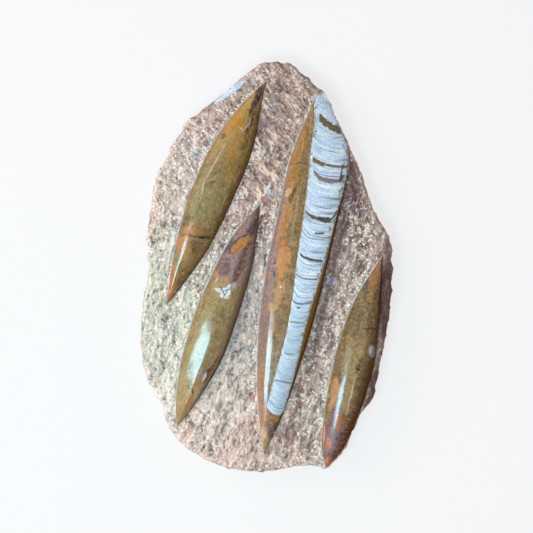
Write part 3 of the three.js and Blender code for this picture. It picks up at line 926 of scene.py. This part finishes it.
def carved_face(spacing):
    """The face as (corners, triangles): a hexagonal net, loosened a little, inside the rim and
    off the fossils, with the rim's points first."""
    rows = np.arange(-182, 182, spacing * math.sqrt(3) / 2)
    columns = np.arange(-112, 112, spacing)
    net = np.array([(x + (i % 2) * spacing / 2, y) for i, y in enumerate(rows) for x in columns])
    net += np.random.default_rng(11).uniform(-0.2, 0.2, net.shape) * spacing
    net = net[np.hypot(*net.T) < RIM.reach(*net.T) - 0.6 * spacing]
    for lie in LIES.values():
        share, offset = lie.measure(*net.T)
        left, right = lie.breadths(share)
        inside = (offset > TUCK - left + 0.4) & (offset < right - TUCK - 0.4)
        net = net[~((share > 0) & (share < 1) & inside)]
    loops = np.vstack([footprint(lie, 0.9) for lie in LIES.values()])
    loops = loops[nearest_distance(loops, RIM.points) > 0.7]
    net = net[nearest_distance(net, loops) > 0.35]
    flat = [Vector(p) for p in np.vstack([RIM.points, loops, net])]
    count = len(RIM.points)
    corners, _, faces, *_ = delaunay_2d_cdt(flat, [], [list(range(count))], 1, 1e-5, False)
    corners = np.array([c[:] for c in corners])
    kept = [f for f in faces if max(f) >= count or RIM.holds(*corners[list(f)].mean(axis=0))]
    return corners, kept


def make_matrix(settings):
    """The slab: a rounded rim, a broken wall, a sawn back and a carved face under the fossils."""
    outline, outward = RIM.points, RIM.outward
    count = len(outline)
    flat, faces = carved_face(settings.corner_spacing / MM)

    # Heights of the face, which dips in a groove round each spindle.
    from_rim = nearest_distance(flat, outline)
    x, y = flat.T
    rim = np.clip(1 - from_rim / (settings.rim_breadth / MM), 0, 1) ** 2.4 * settings.rim_drop / MM
    swell = settings.swell / MM * (ripple(x, y, 38, 1) + 0.6 * ripple(x, y, 15, 2))
    tight = np.ones(len(flat))
    groove, crumbs_and_light = np.zeros(len(flat)), np.zeros(len(flat))
    for lie in LIES.values():
        share, offset = lie.measure(x, y)
        left, right = lie.breadths(np.clip(share, 0, 1))
        outside = np.maximum(-offset - left, offset - right)
        outside = np.where((share < 0) | (share > 1), 9.0, outside)
        tight = np.minimum(tight, smooth_step(-0.6, 2.2, outside))
        groove = np.maximum(groove, bump_at(outside, 0.4, 1.2))
        # A pale line just outside each spindle, on its lit left side only: crumbs and painted light.
        pale = np.maximum(bump_at(outside, 0.3, 0.5), 0.5 * bump_at(outside, 2.2, 2.5))
        crumbs_and_light = np.maximum(crumbs_and_light, pale * (offset < 0))
    top = ground_height(x) - rim + swell * tight - 0.7 * groove * np.clip(from_rim / 4, 0, 1)
    freedom = [(0.12 + 0.88 * tight) * np.clip(0.1 + from_rim / 5, 0, 1)]

    # The wall: rings that follow the outline down, drawn in towards the sawn back.
    rings = [np.c_[flat, top]]
    for level in range(1, WALL_LEVELS + 1):
        share = level / WALL_LEVELS
        belly = math.sin(math.pi * share)
        bulge = 0.5 * belly - 2.2 * max(share - 0.75, 0) ** 1.5 / 0.125
        rough = 0.5 * ripple(outline[:, 0] + level * 3, outline[:, 1] - level * 2, 7, 8) * belly
        ring = outline + outward * (bulge + rough)[:, None]
        rings.append(np.c_[ring, top[:count] * (1 - share)])
        freedom.append(np.full(count, 0.2 * (1 - share) ** 0.2 if level < WALL_LEVELS else 0.0))
    points = np.vstack(rings)
    carved = np.zeros(len(points))
    carved[: len(flat)] = 1 + crumbs_and_light

    above = np.arange(count)
    for level in range(WALL_LEVELS):
        below = len(flat) + level * count + np.arange(count)
        faces += np.stack([above, below, np.roll(below, -1), np.roll(above, -1)], -1).tolist()
        above = below
    faces.append(above[::-1].tolist())
    material = chiselled_limestone(settings.peck_size / MM)
    attributes = {"freedom": np.concatenate(freedom), "carved": carved}
    return make_mesh("matrix", points, faces, material, attributes)


class FOSSIL_OT_matrix(bpy.types.Operator):
    """Carves the limestone slab that the fossils stand in"""

    bl_idname = "fossil.matrix"
    bl_label = "Carve the matrix"

    def execute(self, context):
        settings = context.scene.fossil_carving
        piece = make_matrix(settings)
        sizes = {"Peck Spacing": settings.peck_size / MM, "Peck Depth": settings.peck_depth / MM}
        tree = carving_tree(piece.data.materials[0])
        apply_nodes(piece, tree, {**sizes, "Seed": settings.seed})
        settle(piece, "chiselled_limestone", "matrix_slab")
        return {"FINISHED"}


# ---------------------------------------------------------------- the spindles

# The flats left by the grinder: where their creases are, how much of them the polish left, how
# full the section is at mid length, how far its crest leans to the left, and the shares of the
# length between which the flats set in.
FLATS = {
    "main": ([-1, -0.594, -0.354, *np.linspace(0.2, 1, 9)], 0.736, 2.31, 0.185, (0.4, 0.75)),
    "upper_left": ([-1, -0.587, -0.527, 0.492, 0.86, 1], 0.646, 0.733, 0.382, (0, 0.3)),
    "lower_left": ([-1, -0.605, 0.021, 0.178, 0.86, 1], 0.95, 1.28, 0.181, (0.4, 0.7)),
    "right": ([-1, -0.713, -0.198, 0.328, 0.86, 1], 0.223, 1.21, -0.036, (0.3, 0.6)),
    "none": ([-1, 1], 0, 1.15, 0, (0, 1)),
}


def dome(across, share_along, flats):
    """The height of the polished dome, from 0 at the feet to 1: a keel near the tips, broad at
    mid length, with its flats."""
    edges, share, fullness, lean, onset = FLATS[flats]
    share = share * smooth_step(*onset, share_along)
    exponent = 1.2 + fullness * np.sin(np.pi * np.clip(share_along, 0, 1)) ** 0.6

    def round_height(v):
        v = v + lean * (1 - v**2)
        return (1 - np.minimum(abs(v), 1) ** exponent) ** (1 / exponent)

    height = np.zeros_like(across)
    for left, right in zip(edges[:-1], edges[1:]):
        here = (across >= left) & (across <= right)
        t = np.where(here, (across - left) / (right - left), 0)
        height = np.where(here, (1 - t) * round_height(left) + t * round_height(right), height)
    return (1 - share) * round_height(across) + share * height


def crown_height(lie, x, y):
    """Height of a spindle's polished face at places on the plate."""
    share, offset = lie.measure(x, y)
    share = np.clip(share, 1e-4, 1 - 1e-4)
    left, right = lie.breadths(share)
    across = np.clip(offset / np.maximum(np.where(offset < 0, left, right), 0.01), -1, 1)
    waves = 0.16 * ripple(x, y, 45, 21) + 0.05 * ripple(x, y, 16, 22)
    rise = lie.rise(share)
    full = rise + waves * np.minimum(rise / 6, 1)
    return ground_height(x) + full * dome(across, share, lie.flats)


def make_spindle(name, lie, material, root=4.0, step=0.8, slices=96):
    """A polished spindle: a keeled and faceted dome from a pointed head to a pointed foot."""
    count = int(lie.length / step)
    even = np.arange(1, count) / count
    shares = 0.35 * ((1 - np.cos(np.pi * even)) / 2) + 0.65 * even
    turn = np.cos(np.pi * np.arange(slices + 1) / slices)
    spread = -np.sign(turn) * abs(turn) ** 0.9
    under = np.array([0.96, 0.6, -0.6, -0.96])
    rings = []
    for share, left, right in zip(shares, *lie.breadths(shares)):
        offset = np.where(spread < 0, spread * left, spread * right)
        beneath = np.where(under < 0, under * left, under * right)
        x, y = RIM.pull_in(*lie.plan(share, offset), 0.3)
        bottom_x, bottom_y = RIM.pull_in(*lie.plan(share, beneath), 0.7)
        bottom = ground_height(bottom_x) - root * min(1, lie.rise(share) / 4)
        corners = np.vstack([np.c_[x, y, crown_height(lie, x, y)], np.c_[bottom_x, bottom_y, bottom]])
        grain = grain_along(lie, share, np.r_[offset, beneath])
        rings.append((corners, grain, np.r_[spread, np.sign(under)]))
    tips = []
    for share in (0.0, 1.0):
        x, y = lie.plan(share, 0.0)
        tips.append(((x, y, ground_height(x) - 0.4), (0, share * lie.length, 0), [0]))
    return loft(name, material, rings, tips)


class FOSSIL_OT_spindles(bpy.types.Operator):
    """Grinds and polishes the four spindles"""

    bl_idname = "fossil.spindles"
    bl_label = "Polish the spindles"

    def execute(self, context):
        roughness = context.scene.fossil_carving.polish_roughness
        # Each finish: base, mottle, colour of the right flank's painted shade, markings, seed, and where
        # the polish wears from.
        finishes = {
            "main": ("7a6038", "887050", "7e5c18", MAIN_STAINS, 31.0, 286),
            "upper_left": ("7c6638", "8b7248", "5a381a", UPPER_LEFT_STAINS, 41.0, 400),
            "lower_left": ("857048", "96805a", "6c5444", LOWER_LEFT_STAINS, 51.0, 400),
            "right": ("6a5438", "7a6246", "4e3014", RIGHT_STAINS, 61.0, 150),
        }
        for side, finish in finishes.items():
            material = polished_limestone(f"polished_limestone_{side}", *finish, roughness)
            piece = make_spindle(f"{side}_polished", LIES[side], material)
            settle(piece, "polished_limestone", f"{side}_spindle")
        return {"FINISHED"}


# ---------------------------------------------------------------- the shells

# Walls between the shell's chambers: (millimetres from the head, thickness, from, to, sag,
# slant, colour).
SEPTA = [
    (33.7, 6.4, -0.76, 0.95, 0.22, 0.32, "5a4200"),
    (68.7, 4.2, -0.86, 0.1, 0.2, 0.06, "5e4618"),
    (68.7, 2.4, 0, 0.98, 0.2, 0.06, "705c58"),
    (77, 3.8, -0.66, 0.86, 0.436, 0.221, "786460"),
    (116.3, 2.4, -0.9, 0, 0.18, 0.1, "4e3a24"),
    (116.3, 3.4, -0.3, 0.5, 0.18, 0.1, "44301e"),
    (116.3, 4.4, 0.2, 0.84, 0.18, 0.1, "352214"),
    (133.9, 1.8, 0.16, 0.68, 0, -0.21, "3c2c20"),
    (153.2, 2.1, -0.76, 0.92, 0.14, 0.12, "2e211a"),
    (170.4, 1.2, -0.95, 0.9, 0.172, 0.052, "5c5248"),
    (192.4, 1.3, -0.85, 0.95, 0.2, 0, "4c443c"),
    (212, 1.1, -0.9, 0.85, 0.03, -0.04, "4c4640"),
    (239.2, 1.1, -0.6, 0.6, 0.1, 0, "6c6660"),
    (265.5, 1.6, -0.95, 0.95, 0, 0.01, "443830"),
]
# Cracks in the shell: (place, size and tint as in the stains).
SHELL_CRACKS = [
    (66, 83, 8.5, 0.8, 78, "3e342e", 0.9, 1.6),
    (66, 77.5, 3.4, 1.4, 60, "4a3c34", 0.9, 0.6),
    (60, 45.5, 7.5, 0.7, 55, "33281f", 0.95, 0.8),
    (28, -36, 1.6, 0.9, 0, "2c241c", 0.9, 0.3),
    (31, 50, 6, 4, 40, "a89a80", 0.4, 2, 0.5),
    (15, -100, 70, 14, 75, "9cb4c0", 0.4, 2, 0.5),
]
# How much farther the shell's right edge spreads than the frame's: millimetres from the head,
# and the extra breadth there.
SHELL_EXTRA = (
    (30, 50, 71, 90, 113, 140, 180, 215, 240, 265, 290),
    (0, 3, 6.4, 4.2, 2.4, 1.5, 0.9, 1, 2, 1.6, 2.4),
)


def shell_calcite():
    """White calcite with a cool cast: crowded growth lines and brown walls between chambers."""
    material, wire, shader, place = new_material("shell_calcite", 0.42)
    grain = wire.attribute("grain", "Vector")
    offset, travel, _ = wire.split(grain)
    across = wire.attribute("across")
    bent = wire.times(across, across)
    aside = wire.math("ABSOLUTE", across)
    cloud = wire.noise(place, 10.0, 4.0, 0.65, 72.0)[0]
    speck = wire.noise(place, 1.3, 4.0, 0.75, 73.0)[0]
    stir = wire.noise(place, 2.5, 3.0, 0.6, 74.0)
    rust = wire.noise(place, 3.5, 4.0, 0.7, 75.0)[0]
    sand = wire.noise(place, 0.9, 3.0, 0.8, 78.0)[0]
    tone = wire.mix(wire.ramp(cloud, 0.42, 0.6), colour("c4dcec"), colour("bccef0"))
    tone = wire.tints(
        tone,
        (cloud, 0.6, 0.75, 0.5, "d6d8cc"),
        (speck, 0.52, 0.68, 0.75, "f0fbfb"),
        (speck, 0.46, 0.3, 0.7, "7f8a90"),
        (rust, 0.56, 0.68, 0.6, "b0a07c"),
        (sand, 0.5, 0.66, 0.5, "f6ffff"),
        (sand, 0.48, 0.34, 0.5, "74848c"),
    )

    # Growth lines, which bow towards the head.
    aged = wire.minus(wire.minus(travel, wire.times(bent, -4.5)), wire.times(across, 1.8))
    aged = wire.plus(aged, wire.times(wire.noise(place, 6.0, 3.0, 0.6, 71.0)[0], 2.2))
    row = wire.add("ShaderNodeCombineXYZ", {0: aged, 1: wire.times(offset, 0.05)}).outputs[0]
    for spacing, low, high, strength, tint in (
        (0.9, 0.54, 0.64, 0.65, "7e8a9a"),
        (1.5, 0.56, 0.66, 0.75, "6e767e"),
        (4.2, 0.6, 0.66, 0.75, "66645c"),
        (2.2, 0.46, 0.36, 0.6, "f2f8fc"),
        (1.2, 0.44, 0.34, 0.6, "f2f8fc"),
    ):
        line = wire.noise(row, spacing, 2.0, 0.6, 80.0 + spacing)[0]
        tone = wire.tints(tone, (line, low, high, strength, tint))

    # The walls between the chambers.
    wobble = wire.swing(speck, 1.8)
    breadth = wire.ramp(stir[0], 0.3, 0.7, 0.7, 1.3)
    for at, thick, start, end, sag, slant, tint in SEPTA:
        bow = wire.times(wire.minus(bent, 1.0), -sag * 18)
        line = wire.plus(wire.plus(bow, wire.times(across, slant * 18)), wire.plus(wobble, at))
        off = wire.times(wire.math("ABSOLUTE", wire.minus(travel, line)), breadth)
        middle, half = (start + end) / 2, (end - start) / 2
        reach = wire.math("ABSOLUTE", wire.minus(across, middle))
        band = wire.times(wire.ramp(off, thick * 0.6, thick * 0.4), wire.ramp(reach, half, half - 0.1))
        mottled = wire.mix(wire.ramp(speck, 0.42, 0.6, 0.0, 0.25), colour(tint), colour("9a8452"))
        tone = wire.mix(wire.times(band, 0.95), tone, mottled)

    # Cracks, a dark and ragged edge, and dots.
    wander = wire.moved((0.0, 0.0, 0.0), (stir[1], 3.0))
    tone = lay_stains(wire, tone, place, wander, SHELL_CRACKS)
    edge = wire.plus(aside, wire.times(wire.noise(place, 2.0, 3.0, 0.7, 76.0)[0], 0.2))
    ragged = wire.plus(aside, wire.times(rust, 1.6))
    dots = wire.noise(place, 1.5, 2.0, 0.6, 77.0)[0]
    tone = wire.tints(
        tone,
        (edge, 1.05, 1.12, 0.6, "5a5044"),
        (ragged, 1.7, 1.78, 0.8, "8a7444"),
        (dots, 0.65, 0.7, 0.6, "8c7e58"),
        (dots, 0.34, 0.3, 0.6, "545c60"),
    )
    surface(wire, shader, tone, speck, 0.35, 0.0004)
    return material


def make_shell(material, proud=0.25, root=3.0, step=0.55, slices=64):
    """The chambered shell: a strip let into the longest spindle's crown, a hair proud of it, and
    cut off where the plate ends."""
    lie, host = SHELL_LIE, LIES["main"]
    spread = np.linspace(0, 1, slices + 1)
    swell = proud * np.clip(12 * np.minimum(spread, 1 - spread), 0, 1) ** 0.5
    rings = []
    for share in np.arange(0, 0.997, step / lie.length):
        left, whole = (float(breadth) for breadth in lie.breadths(share))
        right = whole + float(np.interp(share * lie.length, *SHELL_EXTRA))
        tries = np.linspace(-left, right, 400)
        x, y = lie.plan(share, tries)
        inside = RIM.reach(x, y) - np.hypot(x, y) > 0.5
        if inside[0] and not inside.all():
            right = tries[np.argmin(inside) - 1]
        if not inside[0] or right + left < 1.2:
            continue
        offset = -left + (right + left) * spread
        beneath = -left + (right + left) * np.array([0.99, 0.75, 0.25, 0.01])
        x, y = lie.plan(share, offset)
        bottom_x, bottom_y = lie.plan(share, beneath)
        bottom = np.maximum(crown_height(host, bottom_x, bottom_y) - root, GROUND - 3)
        top = np.c_[x, y, crown_height(host, x, y) + swell]
        corners = np.vstack([top, np.c_[bottom_x, bottom_y, bottom]])
        offset = np.r_[offset, beneath]
        across = offset / np.where(offset < 0, left, max(whole, right))
        rings.append((corners, grain_along(lie, share, offset), across))
    tips = []
    for corners, grain, _ in (rings[0], rings[-1]):
        tips.append((corners[: slices + 1].mean(axis=0) - (0, 0, 0.3), grain[slices // 2], [0]))
    return loft("chambered_shell_calcite", material, rings, tips)


class FOSSIL_OT_shells(bpy.types.Operator):
    """Lets the chambered shell into the longest spindle and sets the sliver in the rim"""

    bl_idname = "fossil.shells"
    bl_label = "Set the shells"

    def execute(self, context):
        material = shell_calcite()
        settle(make_shell(material), "shell_calcite", "chambered_shell")
        sliver = make_spindle("rim_shell_calcite", RIM_LIE, material, root=2.0, step=0.5, slices=24)
        settle(sliver, "shell_calcite", "rim_shell")
        return {"FINISHED"}


# ---------------------------------------------------------------- the stage


class StageSettings(bpy.types.PropertyGroup):
    """Camera, floor and lights."""

    view_width: length("View width", "Width of floor that the camera sees", 0.469)
    lens: number("Lens", "Focal length", 150.0, unit="CAMERA")
    true_height: length("True height", "Height at which the view width holds", 0.022)
    floor_colour: bpy.props.FloatVectorProperty(
        name="Floor colour", description="Colour of the glass", subtype="COLOR", default=[0.15] * 3
    )
    floor_glow: number("Floor glow", "How much light comes through the opal glass floor", 0.76)
    key_power: number("Key power", "Cool soft box", 10.0, unit="POWER")
    rake_power: number("Rake power", "Low light", 13.0, unit="POWER")
    sky: number("Sky", "Strength of the light all round", 0.52)


def area_light(name, power, width, depth, place, tint):
    """A soft box that looks at the middle of the plate."""
    data = bpy.data.lights.new(name, "AREA")
    data.shape = "RECTANGLE"
    data.size, data.size_y = width, depth
    data.energy = power
    data.color = tint
    lamp = bpy.data.objects.new(name, data)
    lamp.location = place
    lamp.rotation_euler = (-Vector(place)).to_track_quat("-Z", "Y").to_euler()
    bpy.context.scene.collection.objects.link(lamp)
    return lamp


def studio_world(strength):
    """Warm light from all round, stronger from the left."""
    world = bpy.data.worlds.new("studio")
    world.use_nodes = True
    wire = Wiring(world.node_tree)
    side = wire.split(wire.add("ShaderNodeTexCoord").outputs["Generated"])[0]
    background = world.node_tree.nodes["Background"]
    background.inputs["Color"].default_value = (1.0, 0.82, 0.76, 1)
    wire.put(background.inputs["Strength"], wire.ramp(side, -1.0, 1.0, 1.35 * strength, 0.65 * strength))
    return world


def opal_floor(tint, glow, reach=20000.0):
    """A wide sheet of opal glass just under the plate, lit from below."""
    material = bpy.data.materials.new("floor")
    material.use_nodes = True
    shader = material.node_tree.nodes["Principled BSDF"]
    shader.inputs["Base Color"].default_value = [*tint, 1]
    shader.inputs["Roughness"].default_value = 0.9
    shader.inputs["Emission Color"].default_value = (0.985, 0.992, 1.0, 1)
    shader.inputs["Emission Strength"].default_value = glow
    corners = [(x * reach, y * reach, 0) for x, y in ((-1, -1), (1, -1), (1, 1), (-1, 1))]
    floor = make_mesh("floor", corners, [(0, 1, 2, 3)], material, {})
    floor.location.z = -0.0002
    floor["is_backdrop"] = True


class FOSSIL_OT_stage(bpy.types.Operator):
    """Lays the floor and sets up the camera and the lights"""

    bl_idname = "fossil.stage"
    bl_label = "Set the stage"

    def execute(self, context):
        scene = context.scene
        settings = scene.fossil_stage
        camera = bpy.data.cameras.new("camera")
        camera.lens = settings.lens
        camera.sensor_width = 36
        viewer = bpy.data.objects.new("camera", camera)
        distance = settings.view_width * camera.lens / camera.sensor_width
        viewer.location = (0, 0, settings.true_height + distance)
        scene.collection.objects.link(viewer)
        scene.camera = viewer
        scene.view_settings.view_transform = "Standard"
        opal_floor(settings.floor_colour, settings.floor_glow)
        area_light("key", settings.key_power, 0.42, 0.38, (-0.33, -0.33, 1.12), (0.54, 0.87, 1.0))
        rake = area_light("rake", settings.rake_power, 0.9, 0.9, (-1.3, 0.35, 0.85), (1.0, 0.93, 0.91))
        rake.visible_glossy = False
        scene.world = studio_world(settings.sky)
        return {"FINISHED"}


# ---------------------------------------------------------------- the panel


class FOSSIL_PT_plate(bpy.types.Panel):
    """Makes the plate, step by step"""

    bl_idname = "FOSSIL_PT_plate"
    bl_label = "Orthoceras plate"
    bl_space_type = "VIEW_3D"
    bl_region_type = "UI"
    bl_category = "Fossil"

    def draw(self, context):
        for group in (context.scene.fossil_stage, context.scene.fossil_carving):
            for key in group.bl_rna.properties.keys():
                if key not in ("rna_type", "name"):
                    self.layout.prop(group, key)
        for operator in OPERATORS:
            self.layout.operator(operator.bl_idname)


GROUPS = {"fossil_stage": StageSettings, "fossil_carving": CarvingSettings}
OPERATORS = [FOSSIL_OT_stage, FOSSIL_OT_matrix, FOSSIL_OT_spindles, FOSSIL_OT_shells]
CLASSES = [*GROUPS.values(), *OPERATORS, FOSSIL_PT_plate]


def register():
    """Adds the settings, the operators and the panel."""
    for item in CLASSES:
        bpy.utils.register_class(item)
    for key, group in GROUPS.items():
        setattr(bpy.types.Scene, key, bpy.props.PointerProperty(type=group))


def unregister():
    """Takes them away again."""
    for key in GROUPS:
        delattr(bpy.types.Scene, key)
    for item in reversed(CLASSES):
        bpy.utils.unregister_class(item)


def main():
    """Makes the stage and every piece, and works out the two boxes."""
    register()
    bpy.ops.fossil.stage()
    bpy.ops.fossil.matrix()
    bpy.ops.fossil.spindles()
    bpy.ops.fossil.shells()
    boxes = {"cad": CAD_BOX, "visual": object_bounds()}
    boxes = {name: [list(corner) for corner in box] for name, box in boxes.items()}


if __name__ == "__main__":
    main()
